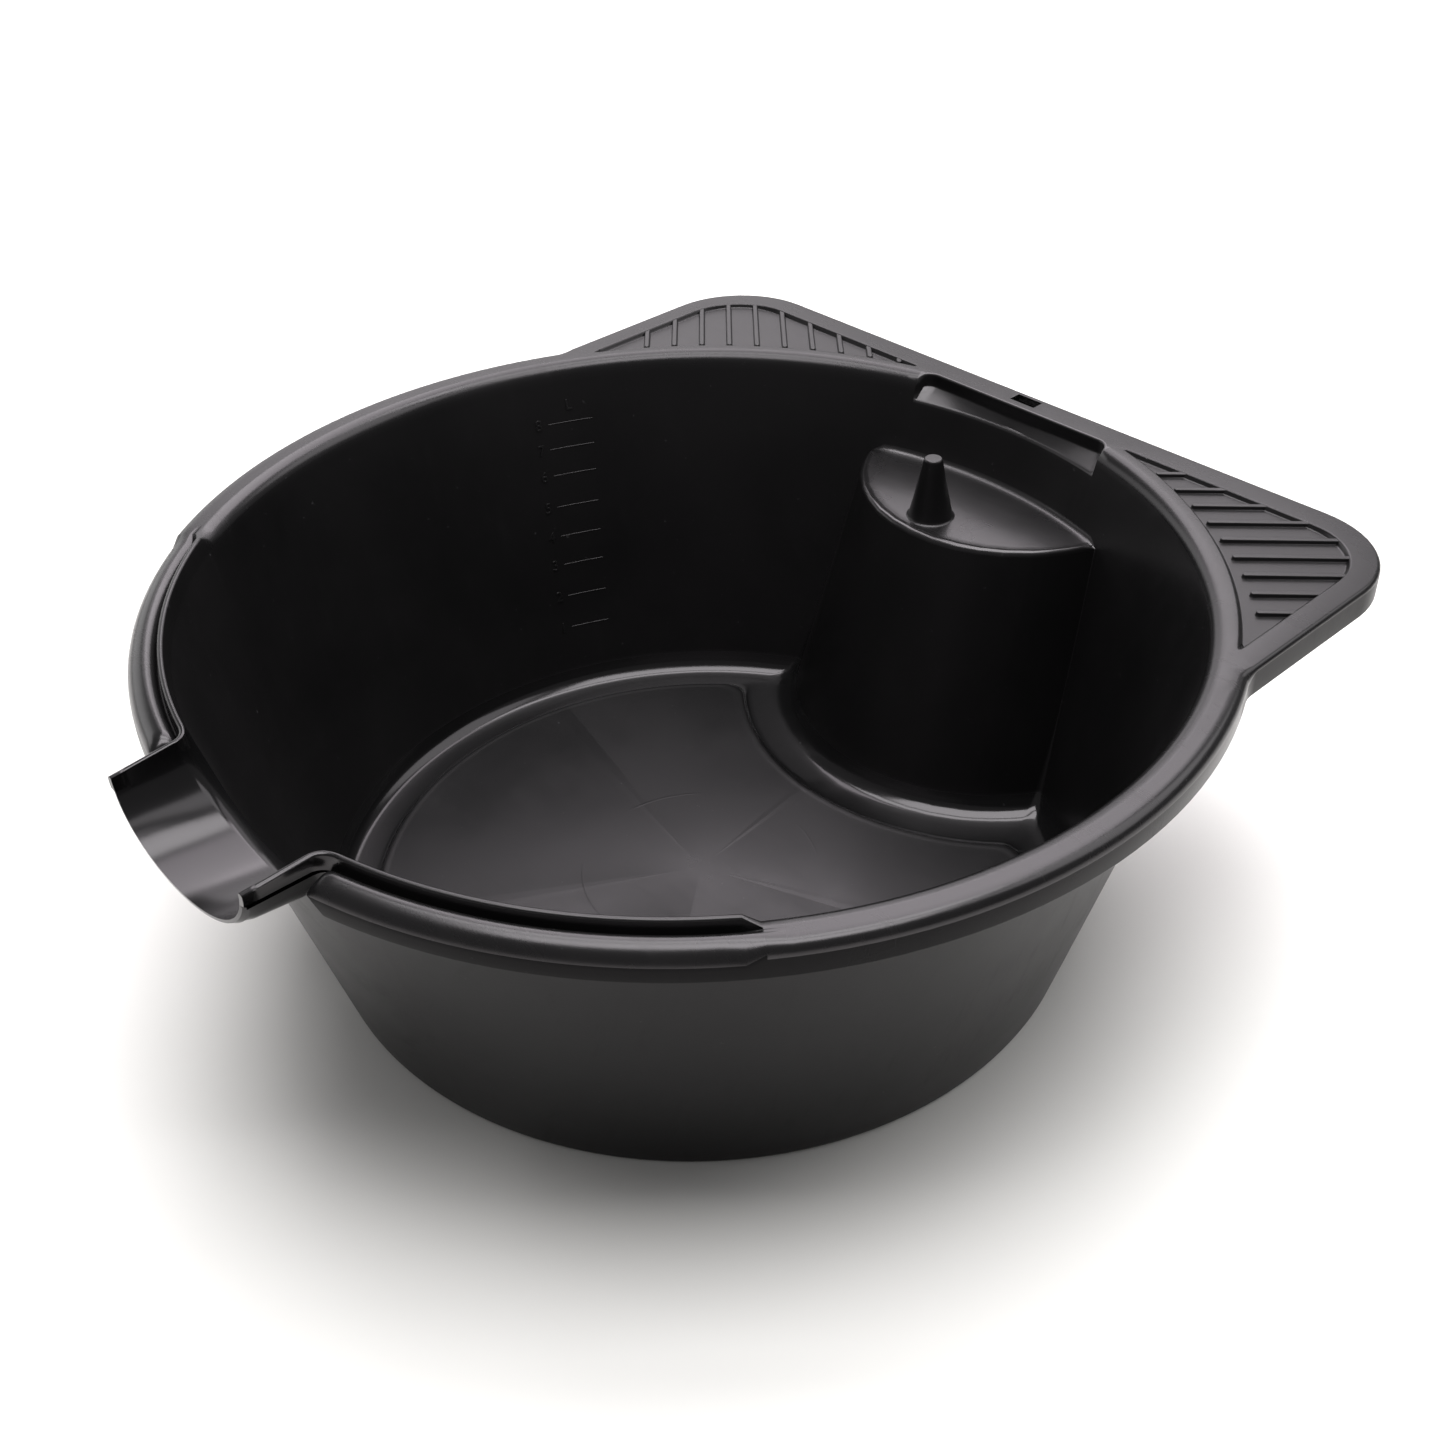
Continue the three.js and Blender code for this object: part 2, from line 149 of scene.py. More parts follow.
class Skin:
    def __init__(self):
        self.points = []
        self.faces = []
        self.regions = []

    def add(self, face, region):
        self.faces.append(face)
        self.regions.append(region)

    def grid(self, rows, region):
        """Rows run away from the basin's middle, columns run with alpha.

        region may be a list, with one name per step from row to row.
        """
        rows = [list(r) for r in rows]
        count = len(rows[0])
        base = len(self.points)
        for r in rows:
            self.points.extend(tuple(map(float, p)) for p in r)
        for i in range(len(rows) - 1):
            name = region if isinstance(region, str) else region[i]
            for j in range(count - 1):
                a = base + i * count + j
                self.add((a, a + count, a + count + 1, a + 1), name)

    def polygon(self, loop, region):
        base = len(self.points)
        self.points.extend(tuple(map(float, p)) for p in loop)
        self.add(tuple(range(base, base + len(loop))), region)

    def flat(self, loops, z, region):
        """Fills the flat area between closed (x, y) loops, facing up."""
        bm = bmesh.new()
        edges = []
        for loop in loops:
            ring = [bm.verts.new((x, y, z)) for x, y in loop]
            for k, v in enumerate(ring):
                edges.append(bm.edges.new((v, ring[(k + 1) % len(ring)])))
        bmesh.ops.triangle_fill(bm, use_beauty=True, use_dissolve=False, edges=edges)
        bm.verts.index_update()
        base = len(self.points)
        self.points.extend(tuple(v.co) for v in bm.verts)
        for f in bm.faces:
            order = [base + v.index for v in f.verts]
            if f.normal.z < 0:
                order.reverse()
            self.add(tuple(order), region)
        bm.free()


skin = Skin()

# ---------------------------------------------------------------- column directions
spout_phis = np.linspace(0, math.degrees(math.acos((RIM_Z - WALL_TOP_Z) / U_OUTER[1])), 17)
INNER_PHI_END = math.degrees(math.acos((RIM_Z - WALL_TOP_Z) / U_INNER[1]))
TIP_PHI_END = math.degrees(math.acos((RIM_Z - WALL_TOP_Z) / U_TIP[1]))


def spout_wall_point(phi):
    x = U_OUTER[0] * math.sin(math.radians(phi))
    z = RIM_Z - U_OUTER[1] * math.cos(math.radians(phi))
    return (x, -math.sqrt(wall_r(z) ** 2 - x * x), z)


spout_points = [spout_wall_point(p) for p in spout_phis]
spout_alphas = [alpha_of(p[0], p[1]) for p in spout_points]
GUARD_FROM = spout_alphas[-1]
guard_alphas = list(np.linspace(GUARD_FROM, GUARD_END - GUARD_CHAMFER, 21)) + [GUARD_END]
flange_alphas = list(np.linspace(GUARD_END, HANDLE_START, 27))

# resting ledge outline, from its right end to the middle
tray_psis = [15.9, 34, 52, 71, 90]
tray_plan = [(TRAY_CORNER[0] + TRAY_CORNER[2] * math.cos(math.radians(p)),
              TRAY_CORNER[1] + TRAY_CORNER[2] * math.sin(math.radians(p))) for p in tray_psis]
tray_plan += [(x, TRAY_BACK_Y) for x in (33, 25, 17, 8.5, 0)]
# on the wall the ledge's columns stand a little closer together than on its back
tray_alphas = [TRAY_FROM]
for x, _ in tray_plan[1:]:
    tray_alphas.append(180 - math.degrees(math.asin(min(x * 0.985, TRAY_WALL_HALF) / TRAY_WALL_R)))
handle_alphas = list(np.linspace(HANDLE_START, TRAY_FROM, 25))


def corner(rw, yc, rc, rho):
    """Centre and touch points of the small fillet between wall and filter column."""
    a = rw - rho
    b = rc + rho
    y = (a * a - b * b + yc * yc) / (2 * yc)
    x = math.sqrt(a * a - y * y)
    on_wall = (x * rw / a, y * rw / a)
    on_column = (x * rc / b, yc + (y - yc) * rc / b)
    return (x, y), on_wall, on_column


FILLET_STEPS = 12
top_wall = corner(wall_r(COLUMN_TOP_Z), *column_at(COLUMN_TOP_Z), CREASE_R)[1]
BACK_FROM = alpha_of(top_wall[0], top_wall[1])
back_alphas = list(np.linspace(BACK_FROM, TRAY_FROM, 4)) + tray_alphas[1:]
back_share = [(a - BACK_FROM) / (180 - BACK_FROM) for a in back_alphas]

handle_front = [a for a in handle_alphas if a < BACK_FROM - 0.8]
handle_wall = handle_front[1:] + [BACK_FROM]
wall_alphas = spout_alphas + guard_alphas[1:] + flange_alphas[1:] + handle_wall


def ring(rw, yc, rc, rho, z):
    """Right half of the basin's outline: wall, crease fillet, filter column."""
    centre, on_wall, on_column = corner(rw, yc, rc, rho)
    reach = alpha_of(on_wall[0], on_wall[1])
    pts = [at(rw, a * reach / BACK_FROM, z) for a in wall_alphas]
    a0 = math.atan2(on_wall[1] - centre[1], on_wall[0] - centre[0])
    a1 = math.atan2(on_column[1] - centre[1], on_column[0] - centre[0])
    if a1 < a0:
        a1 += 2 * math.pi
    for k in range(1, FILLET_STEPS + 1):
        a = lerp(a0, a1, k / FILLET_STEPS)
        pts.append((centre[0] + rho * math.cos(a), centre[1] + rho * math.sin(a), z))
    c0 = math.atan2(on_column[1] - yc, on_column[0])
    for s in back_share[1:]:
        a = lerp(c0, -math.pi / 2, s)
        pts.append((rc * math.cos(a), yc + rc * math.sin(a), z))
    return pts


WALL_COLUMNS = len(wall_alphas)

# ---------------------------------------------------------------- floor and channel
foot_column = column_at(FOOT_Z)
CHANNEL_W = wall_r(FOOT_Z) - PLATE_R
# distance outwards from the plate's edge, height
channel = [
    (-3.6, 5.3), (-3.1, 5.31), (-2.6, 5.36), (-2.0, 5.42), (-1.3, 5.42), (-0.7, 5.28),
    (-0.25, 4.95), (0.15, 4.35), (0.7, 3.6), (1.6, 3.05), (3.2, 2.8), (6.0, 2.7),
    (8.6, 2.75), (10.6, 2.95), (11.9, 3.35), (12.9, 3.95), (14.3, 5.1), (15.1, 6.0),
    (15.75, 7.1), (16.3, 8.4), (CHANNEL_W, 10.4),
]


def channel_ring(d, z):
    t = d / CHANNEL_W
    yc = lerp(PLATE_COLUMN[0], foot_column[0], t)
    rc = lerp(PLATE_COLUMN[1], foot_column[1], t)
    rho = lerp(PLATE_CREASE_R, FOOT_CREASE_R, max(0.0, min(1.0, t)) ** 1.3)
    return ring(PLATE_R + d, yc, rc, rho, z)


edge = channel_ring(channel[0][0], channel[0][1])
middle = (0.0, -10.0)
inner_rows = []
for s in (0.02, 0.12, 0.25, 0.4, 0.55, 0.7, 0.82, 0.91, 0.97):
    inner_rows.append([(lerp(middle[0], p[0], s), lerp(middle[1], p[1], s), PLATE_Z) for p in edge])
skin.grid(inner_rows + [edge], "floor_plate")
skin.polygon(inner_rows[0], "floor_plate")
channel_rows = [channel_ring(d, z) for d, z in channel]
skin.grid(channel_rows[:7], "floor_plate")
skin.grid(channel_rows[6:], "foot_ring")

# ---------------------------------------------------------------- wall below the shelf, filter column
levels = [FOOT_Z, 12.0, 15, 22, 36, 52, 68, 82, 94, 102, 105.5, COLUMN_TOP_Z]
rows = []
for z in levels:
    rho = lerp(FOOT_CREASE_R, CREASE_R, min(1.0, (z - FOOT_Z) / 30))
    rows.append(ring(wall_r(z), *column_at(z), rho, z))
split = WALL_COLUMNS + FILLET_STEPS // 2

# outside of the foot: straight down the wall, round the edge, flat ring, up to the plate
foot_rows = []
for z, tuck in ((22.0, -0.01), (12.0, -0.01), (6.0, 0.0), (1.5, 0.0), (0.6, 0.22), (0.15, 0.8), (0.0, 1.5)):
    column_y, column_r = column_at(z)
    out = WALL_ACROSS - tuck
    foot_rows.append(ring(wall_r(z) + out, column_y, column_r - out, CREASE_R + 5.2 - tuck, z))
for d, z in ((0.6, 0.0), (-0.2, 0.3), (-0.8, 1.4), (-1.4, 2.5), (-2.4, 2.8)):
    foot_rows.append(channel_ring(d, z))
skin.grid(foot_rows[:4], "foot_side")
skin.grid(foot_rows[3:], "foot_ring")
skin.grid([r[:split] for r in rows], "basin_wall")
skin.grid([r[split - 1:] for r in rows], "filter_column")

# ---------------------------------------------------------------- shelf
# rounded lip along the column, then the fillet up the wall: (distance, height)
lip = [(0, 0), (0.3, 1.1), (0.95, 1.9), (1.9, 2.25), (2.9, 1.95), (3.8, 1.45), (5.0, 1.22), (7.5, SHELF_RISE)]
back = [(3.6, SHELF_RISE), (2.0, 1.35), (0.9, 1.85), (0.3, 2.6), (0, 3.6)]
top_row = rows[-1]
front = top_row[WALL_COLUMNS + FILLET_STEPS - 1:]
fillet = top_row[WALL_COLUMNS - 1:WALL_COLUMNS + FILLET_STEPS][::-1]
shelf_back = [at(wall_r(COLUMN_TOP_Z), alpha, COLUMN_TOP_Z) for alpha in back_alphas]
gaps = [math.hypot(q[0] - p[0], q[1] - p[1]) for p, q in zip(front, shelf_back)]
tips = [0.0] + [min(1.0, gap / SHELF_TIP_FADE) for gap in gaps[1:]]
shelf_rows = []
for j in range(FILLET_STEPS + 1):
    row = [fillet[j]]
    for alpha, p, q, gap, s in list(zip(back_alphas, front, shelf_back, gaps, tips))[1:]:
        u = ((q[0] - p[0]) / gap, (q[1] - p[1]) / gap)
        if j < len(lip):
            e, h = lip[j]
            row.append((p[0] + u[0] * e * s, p[1] + u[1] * e * s, COLUMN_TOP_Z + h * s))
        else:
            f, h = back[j - len(lip)]
            z = COLUMN_TOP_Z + h * s
            row.append(at(wall_r(z) - f * s, alpha, z))
    shelf_rows.append(row)
skin.grid(shelf_rows, "filter_shelf")

# ---------------------------------------------------------------- wall above the shelf
shares = (0, 0.2, 0.42, 0.62, 0.8, 0.92, 1.0)


def wall_strip(alphas, bottoms, tops):
    out = []
    for f in shares:
        row = []
        for a, z0, z1 in zip(alphas, bottoms, tops):
            z = lerp(z0, z1, f)
            row.append(at(wall_r(z), a, z))
        out.append(row)
    return out


spout_bottoms = [COLUMN_TOP_Z] * len(spout_alphas)
skin.grid(wall_strip(spout_alphas, spout_bottoms, [p[2] for p in spout_points]), "basin_wall")
rim_alphas = guard_alphas + flange_alphas[1:] + handle_wall
rim_count = len(rim_alphas)
skin.grid(wall_strip(rim_alphas, [COLUMN_TOP_Z] * rim_count, [WALL_TOP_Z] * rim_count), "basin_wall")
back_bottoms = [COLUMN_TOP_Z + back[-1][1] * s for s in tips]
near = 4  # columns in front of the ledge
skin.grid(wall_strip(back_alphas[:near], back_bottoms[:near], [WALL_TOP_Z] * near), "basin_wall")
behind = len(back_alphas) - near + 1
skin.grid(wall_strip(back_alphas[near - 1:], back_bottoms[near - 1:], [LEDGE_WALL_Z] * behind), "basin_wall")

# ---------------------------------------------------------------- rim sections (r, z)
skirt_end = [
    (194, 139.2), (194, 136), (194, 132.6), (193.8, 132.05), (193.3, 131.75), (192.7, 131.7),
    (192.1, 131.85), (191.75, 132.3), (191.7, 133),
]
guard_section = [
    (wall_r(WALL_TOP_Z), WALL_TOP_Z), (wall_r(142), 142), (wall_r(144.3), 144.3),
    (181.1, 144.75), (181.6, 145.0), (182.2, 145.0), (182.7, 144.75), (182.95, 144.3),
    (183.0, 142), (183.05, 139.9), (183.3, 139.35), (183.7, 139.3), (184.0, 139.9), (184.4, 140.7),
    (185.0, 141.5), (185.9, 142.2), (187.4, 142.7), (188.9, 142.53), (190.6, 141.9), (192.05, 140.8),
    (193.2, 139.25), (193.85, 137.5), (194.0, 136.0), (194.0, 134.3),
] + skirt_end[2:] + [
    (191.7, 136.0), (190.9, 138.0), (189.2, 139.6), (186.9, 139.6), (185.0, 137.0), (181.8, 136.3),
]
flange_section = [
    (wall_r(WALL_TOP_Z), WALL_TOP_Z), (179.9, 140.0), (180.86, 141.24), (182.1, 142.2), (183.55, 142.8),
    (185.1, 143), (185.3, 143), (185.5, 143), (185.7, 143), (185.9, 143), (186.1, 143), (186.3, 143),
    (186.6, 143), (186.9, 143), (187.2, 143), (187.6, 143), (188.0, 143), (188.8, 143), (190.2, 143),
    (191.65, 142.71), (192.89, 141.89), (193.71, 140.65),
] + skirt_end + [
    (191.7, 138.2), (191.2, 139.6), (189.9, 140.4), (186, 140.4), (183.6, 139.9), (182.0, 138.0),
]
# points of a section: the guard's, then up to the skirt's top, then up to the skirt's inside
GUARD_ROWS = 11
VALLEY_TO = 22
SKIRT_TO = 31
NOSE_TURN = 1.3


def nose(section, u):
    """Rounds the bead's end beside the spout; u runs from 0 at the end to 1."""
    lift = math.sqrt(max(0.0, 1 - (1 - u) ** 2))
    low = 138.0
    return [(r, low + (z - low) * lift if z > low and r > 183.2 else z) for r, z in section]


nose_alphas = [GUARD_FROM + turn for turn in (0.12, 0.35, 0.75, NOSE_TURN)]
guard_columns = []
for a in sorted(guard_alphas[:-1] + nose_alphas):
    guard_columns.append((a, nose(guard_section, min(1.0, (a - GUARD_FROM) / NOSE_TURN))))
guard_columns.append((GUARD_END, flange_section))


def swept(columns, first, last):
    return [[at(section[i][0], a, section[i][1]) for a, section in columns] for i in range(first, last)]


def lead_in(a, i, z):
    """The bead starts a little nearer the spout than the guard's own turn, the skirt below it further off."""
    if i < GUARD_ROWS:
        return a
    low = min(1.0, max(0.0, (138.0 - z) / 6.0))
    return a + (1.9 * low - 1.1) * max(0.0, 1 - (a - GUARD_FROM) / 5)


def swept_bead(columns, first, last):
    return [[at(section[i][0], lead_in(a, i, section[i][1]), section[i][1]) for a, section in columns]
            for i in range(first, last)]


skin.grid(swept(guard_columns, 0, GUARD_ROWS), "splash_guard")
skin.grid(swept_bead(guard_columns, GUARD_ROWS - 1, VALLEY_TO), "rim_bead")
skin.grid(swept_bead(guard_columns, VALLEY_TO - 1, SKIRT_TO), "rim_skirt")
skin.grid(swept_bead(guard_columns, SKIRT_TO - 1, len(guard_section)), "rim_bead")
first = guard_columns[0][1]
nose_face = [at(r, lead_in(GUARD_FROM, i, z), z) for i, (r, z) in enumerate(first) if i >= GUARD_ROWS - 1]
skin.polygon(nose_face, "rim_bead")

flange_columns = [(a, flange_section) for a in flange_alphas]
skin.grid(swept(flange_columns, 0, VALLEY_TO + 1), "rim_flange")
skin.grid(swept(flange_columns, VALLEY_TO, SKIRT_TO), "rim_skirt")
skin.grid(swept(flange_columns, SKIRT_TO - 1, len(flange_section)), "rim_flange")

# ---------------------------------------------------------------- spout
ROUND = (0.0, 0.12, 0.28, 0.45, 0.62, 0.78, 0.9, 1.0)


def bend(w, k, t_end, t):
    """Point and plan tangent of the rounded turn from the wall into the channel."""
    b = [(1 - t) ** 2 * w[i] + 2 * t * (1 - t) * k[i] + t * t * t_end[i] for i in range(3)]
    d = [2 * (1 - t) * (k[i] - w[i]) + 2 * t * (t_end[i] - k[i]) for i in range(3)]
    return b, d


def half_width(z, shape):
    drop = max(0.0, RIM_Z - z) / shape[1]
    return shape[0] * math.sqrt(max(0.0, 1 - drop * drop))


def tip_y(phi):
    """The spout's end leans back a little towards its top."""
    return SPOUT_TIP_Y + TIP_LEAN * (1 - math.cos(math.radians(phi)))


STRAIGHT = (0.25, 0.5, 0.75, 1.0)
channel_cols = []
for phi in spout_phis:
    w = spout_wall_point(phi)
    phi2 = math.radians(phi * INNER_PHI_END / spout_phis[-1])
    kx = U_INNER[0] * math.sin(phi2)
    kz = RIM_Z - U_INNER[1] * math.cos(phi2)
    k = (kx, SILL_Y, kz)
    t_end = (k[0], k[1] - lerp(1.6, 6.0, (phi / spout_phis[-1]) ** 3), k[2])
    col = [bend(w, k, t_end, t)[0] for t in ROUND]
    tip_x = U_TIP[0] * math.sin(math.radians(phi * TIP_PHI_END / spout_phis[-1]))
    tip_z = RIM_Z - U_TIP[1] * math.cos(math.radians(phi * TIP_PHI_END / spout_phis[-1]))
    for f in STRAIGHT:
        col.append([lerp(t_end[0], tip_x, f), lerp(t_end[1], tip_y(phi), f), lerp(t_end[2], tip_z, f)])
    channel_cols.append(col)
skin.grid([[c[i] for c in channel_cols] for i in range(len(ROUND) + len(STRAIGHT))], "pour_spout")

SIDE_OFFSET = (0, 0, 0, 0.14, 0.57, 1.13, 1.7, 2.1, 2.2, 2.2, 2.2)
side_rows = []
for j in range(GUARD_ROWS):
    r_j, z_j = guard_section[j]
    off0 = r_j - wall_r(z_j)
    wx = half_width(z_j, U_OUTER)
    w = (wx, -math.sqrt(wall_r(z_j) ** 2 - wx * wx), z_j)
    kx = half_width(z_j, U_INNER)
    k = (kx, SILL_Y, z_j)
    t_end = (k[0], k[1] - 6.0, z_j)
    row = []
    for t in ROUND:
        b, d = bend(w, k, t_end, t)
        size = math.hypot(d[0], d[1])
        n = (-d[1] / size, d[0] / size)
        if n[0] < 0:
            n = (-n[0], -n[1])
        off = lerp(off0, SIDE_OFFSET[j], t)
        if t == 0.0:
            row.append(at(r_j, GUARD_FROM, z_j))
        else:
            row.append((b[0] + n[0] * off, b[1] + n[1] * off, z_j))
    for f in STRAIGHT:
        y = lerp(t_end[1], tip_y(spout_phis[-1]), f)
        top = lerp(GUARD_TOP_Z, SPOUT_TIP_Z, max(0.0, (y - GUARD_DROP_Y) / (SPOUT_TIP_Y - GUARD_DROP_Y)))
        z = z_j
        if z_j > WALL_TOP_Z:
            z = WALL_TOP_Z + (z_j - WALL_TOP_Z) * (top - WALL_TOP_Z) / (GUARD_TOP_Z - WALL_TOP_Z)
        row.append((lerp(kx, half_width(z_j, U_TIP), f) + SIDE_OFFSET[j], y, z))
    side_rows.append(row)
turned = [[side_rows[j][i] for j in range(GUARD_ROWS)] for i in range(len(side_rows[0]))]
skin.grid(turned, "spout_side")

# edge of the spout's tip
tip_inner = [c[-1] for c in channel_cols]
normals = []
for i, p in enumerate(tip_inner):
    phi2 = math.radians(spout_phis[i] * TIP_PHI_END / spout_phis[-1])
    n = (U_TIP[1] * math.sin(phi2), -U_TIP[0] * math.cos(phi2))
    size = math.hypot(*n)
    normals.append((n[0] / size, n[1] / size))
tip_rows = []
for out, ahead in ((0, 0), (1.2, 0.15), (2.2, 2.2)):
    tip_rows.append([(p[0] + n[0] * out, p[1] + ahead, p[2] + n[1] * out)
                     for p, n in zip(tip_inner, normals)])
skin.grid(tip_rows, "spout_side")
skin.polygon([r[-1] for r in side_rows], "spout_side")

# ---------------------------------------------------------------- grip edge
HANDLE_DEG = HANDLE_START - 90


def arc(cx, cy, r, a0, a1, n):
    turns = [math.radians(a) for a in np.linspace(a0, a1, n)]
    return [(cx + r * math.cos(a), cy + r * math.sin(a)) for a in turns]


def outline(inset):
    """Outer edge from the rim round the corner to the middle of the back."""
    rim = RIM_R - inset
    side = EAR_X - inset
    fr = EAR_FILLET_R + inset
    fx = side + fr
    fy = math.sqrt((rim + fr) ** 2 - fx ** 2)
    touch = math.degrees(math.atan2(fy, fx))
    cr = EAR_CORNER_R - inset
    cx = side - cr
    cy = EAR_Y - inset - cr
    pts = arc(0, 0, rim, HANDLE_DEG, touch, 3)
    pts += arc(fx, fy, fr, 180 + touch, 180, 9)[1:]
    pts += arc(cx, cy, cr, 0, 90, 15)
    pts += [(x, EAR_Y - inset) for x in (100, 64, 30, 12, 0)]
    return np.array(pts)


outer0 = outline(0.0)
outer4 = outline(4.0)
edge_round = np.array([RIM_ROUND] * 3 + list(np.linspace(RIM_ROUND, EAR_ROUND, 9)[1:])
                      + [EAR_ROUND] * (len(outer0) - 11))


def outer_ring(inset, z):
    p = outer0 + (outer4 - outer0) * (np.asarray(inset)[..., None] / 4.0)
    z = np.broadcast_to(z, (len(p),))
    return [(q[0], q[1], h) for q, h in zip(p, z)]


edge_rows = []
for s in (0, 22, 45, 68, 90):
    c, d = math.cos(math.radians(s)), math.sin(math.radians(s))
    edge_rows.append(outer_ring(edge_round * (1 - d), RIM_Z - edge_round * (1 - c)))
for inset, z in ((0, 136), (0, 132.6), (0.2, 132.05), (0.7, 131.75), (1.3, 131.7), (1.9, 131.85),
                 (2.25, 132.3), (2.3, 133), (2.3, 140.6)):
    edge_rows.append(outer_ring(np.full(len(outer0), float(inset)), z))
skin.grid(edge_rows, ["grip_frame"] * 4 + ["grip_skirt"] * (len(edge_rows) - 5))

# inner edge of the band
handle_columns = [(a, flange_section) for a in handle_front]
handle_columns += [(a, flange_section) for a in back_alphas[:near]]
skin.grid(swept(handle_columns, 0, 6), "grip_frame")

# ledge: from the wall up over the lip, along the slope, up the straight face
edge_levels = [132.0, 132.6, 133.1, 133.7, 134.4, 135.1, 136.1, 137.3]
first_col = [at(wall_r(z), TRAY_FROM, z) for z in edge_levels]
first_col += [at(flange_section[i][0], TRAY_FROM, flange_section[i][1]) for i in (0, 2, 3, 4, 5)]
tray_cols = [first_col]
for (bx, by), a in zip(tray_plan[1:], tray_alphas[1:]):
    w = wall_r(133.2)
    fx, fy, _ = at(w, a, 0)
    width = math.hypot(bx - fx, by - fy)
    u = ((bx - fx) / width, (by - fy) / width)
    col = [at(wall_r(132.0), a, 132.0), at(wall_r(132.6) + 0.08, a, 132.6)]
    col += [(fx + u[0] * 0.45, fy + u[1] * 0.45, 133.1), (fx + u[0] * 1.1, fy + u[1] * 1.1, TRAY_LOW_Z)]
    rise = (TRAY_HIGH_Z - TRAY_LOW_Z) / max(width - 1.1, 0.5)
    halfway = lerp(1.1, width, 0.5)
    col.append((fx + u[0] * halfway, fy + u[1] * halfway, lerp(TRAY_LOW_Z, TRAY_HIGH_Z, 0.5)))
    col.append((bx - u[0] * 0.35, by - u[1] * 0.35, TRAY_HIGH_Z - 0.35 * rise))
    if abs(by - TRAY_BACK_Y) < 1e-6:
        n = (0.0, 1.0)
    else:
        n = ((bx - TRAY_CORNER[0]) / TRAY_CORNER[2], (by - TRAY_CORNER[1]) / TRAY_CORNER[2])
    col += [(bx, by, z) for z in (137.5, 139.2, 141.0, 142.1)]
    for e, h in ((0.15, 142.6), (0.45, 142.9), (0.93, 143.0)):
        col.append((bx + n[0] * e, by + n[1] * e, h))
    tray_cols.append(col)
skin.grid([[c[i] for c in tray_cols] for i in range(len(first_col))], "rest_ledge")


def first_rounded(points, radius, steps=4):
    """Rounds the first corner of a closed loop."""
    p, before, after = (Vector(points[i]) for i in (0, -1, 1))
    back = (before - p).normalized()
    ahead = (after - p).normalized()
    reach = radius / math.tan(back.angle(ahead) / 2)
    start, end = p + back * reach, p + ahead * reach
    out = []
    for k in range(steps + 1):
        t = k / steps
        q = start * (1 - t) ** 2 + p * 2 * t * (1 - t) + end * t * t
        out.append((q.x, q.y))
    return out + points[1:]


# panel outline, anticlockwise from its front corner
front_y = math.sqrt(BAND_R ** 2 - PANEL_X ** 2)
panel_loop = [(PANEL_X, front_y)]
panel_loop += arc(PANEL_X - PANEL_CORNER_R, PANEL_Y - PANEL_CORNER_R, PANEL_CORNER_R, 0, 90, 12)
back_a = math.degrees(math.acos(PANEL_BACK_X / BAND_R))
front_a = math.degrees(math.acos(PANEL_X / BAND_R))
inner_arc = arc(0, 0, BAND_R, back_a, front_a, 22)
panel_loop += [(PANEL_BACK_X, PANEL_Y)] + inner_arc[:-1]
panel_loop = first_rounded(panel_loop, 1.6)


def shifted(loop, distance):
    """Moves a closed anticlockwise loop inwards."""
    out = []
    n = len(loop)
    for i in range(n):
        a, p, b = Vector(loop[i - 1]), Vector(loop[i]), Vector(loop[(i + 1) % n])
        u = (p - a).normalized()
        v = (b - p).normalized()
        na, nb = Vector((-u.y, u.x)), Vector((-v.y, v.x))
        m = (na + nb)
        if m.length < 1e-6:
            m = na
        m.normalize()
        scale = min(1 / max(m.dot(na), 0.3), 2.0)
        q = p + m * distance * scale
        out.append((q.x, q.y))
    return out


step_profile = [(0.0, RIM_Z), (0.3, RIM_Z - 0.05), (0.6, RIM_Z - 0.22), (0.85, RIM_Z - 0.5),
                (1.3, PANEL_Z + 0.42), (1.6, PANEL_Z + 0.12), (2.0, PANEL_Z)]
step_rows = [[(x, y, z) for x, y in shifted(panel_loop, d)] for d, z in step_profile]
step_rows = [r + [r[0]] for r in step_rows]
skin.grid(step_rows[::-1], "grip_frame")
skin.flat([shifted(panel_loop, step_profile[-1][0])], PANEL_Z, "grip_panel")

# flat top between the outlines
top_outer = [(p[0], p[1]) for p in edge_rows[0]]
flange_edge = [at(flange_section[i][0], HANDLE_START, 0)[:2] for i in range(5, 19)]
inner_line = [at(flange_section[5][0], a, 0)[:2] for a, _ in handle_columns]
tray_edge = [(c[-1][0], c[-1][1]) for c in tray_cols]
hole_round = 0.3
hole = [(HOLE_HALF + hole_round, HOLE_TO + hole_round), (HOLE_HALF + hole_round, HOLE_FROM - hole_round)]
loop = flange_edge[:-1] + top_outer[:-1] + [(0, top_outer[-1][1])]
loop += [(0, HOLE_TO + hole_round)] + hole + [(0, HOLE_FROM - hole_round)]
loop += tray_edge[::-1][:-1] + inner_line[::-1][:-1]
skin.flat([loop, panel_loop], RIM_Z, "grip_frame")
hole_rows = []
for e, z in ((hole_round, RIM_Z), (0.08, RIM_Z - 0.1), (0, RIM_Z - 0.35), (0, 140.2)):
    hole_rows.append([(0, HOLE_TO + e, z), (HOLE_HALF + e, HOLE_TO + e, z),
                      (HOLE_HALF + e, HOLE_FROM - e, z), (0, HOLE_FROM - e, z)])
skin.grid(hole_rows, "grip_frame")


# ---------------------------------------------------------------- assemble the moulding
def to_metres(p):
    return (p[0] * 0.001, (p[1] + AXIS_Y) * 0.001, p[2] * 0.001)


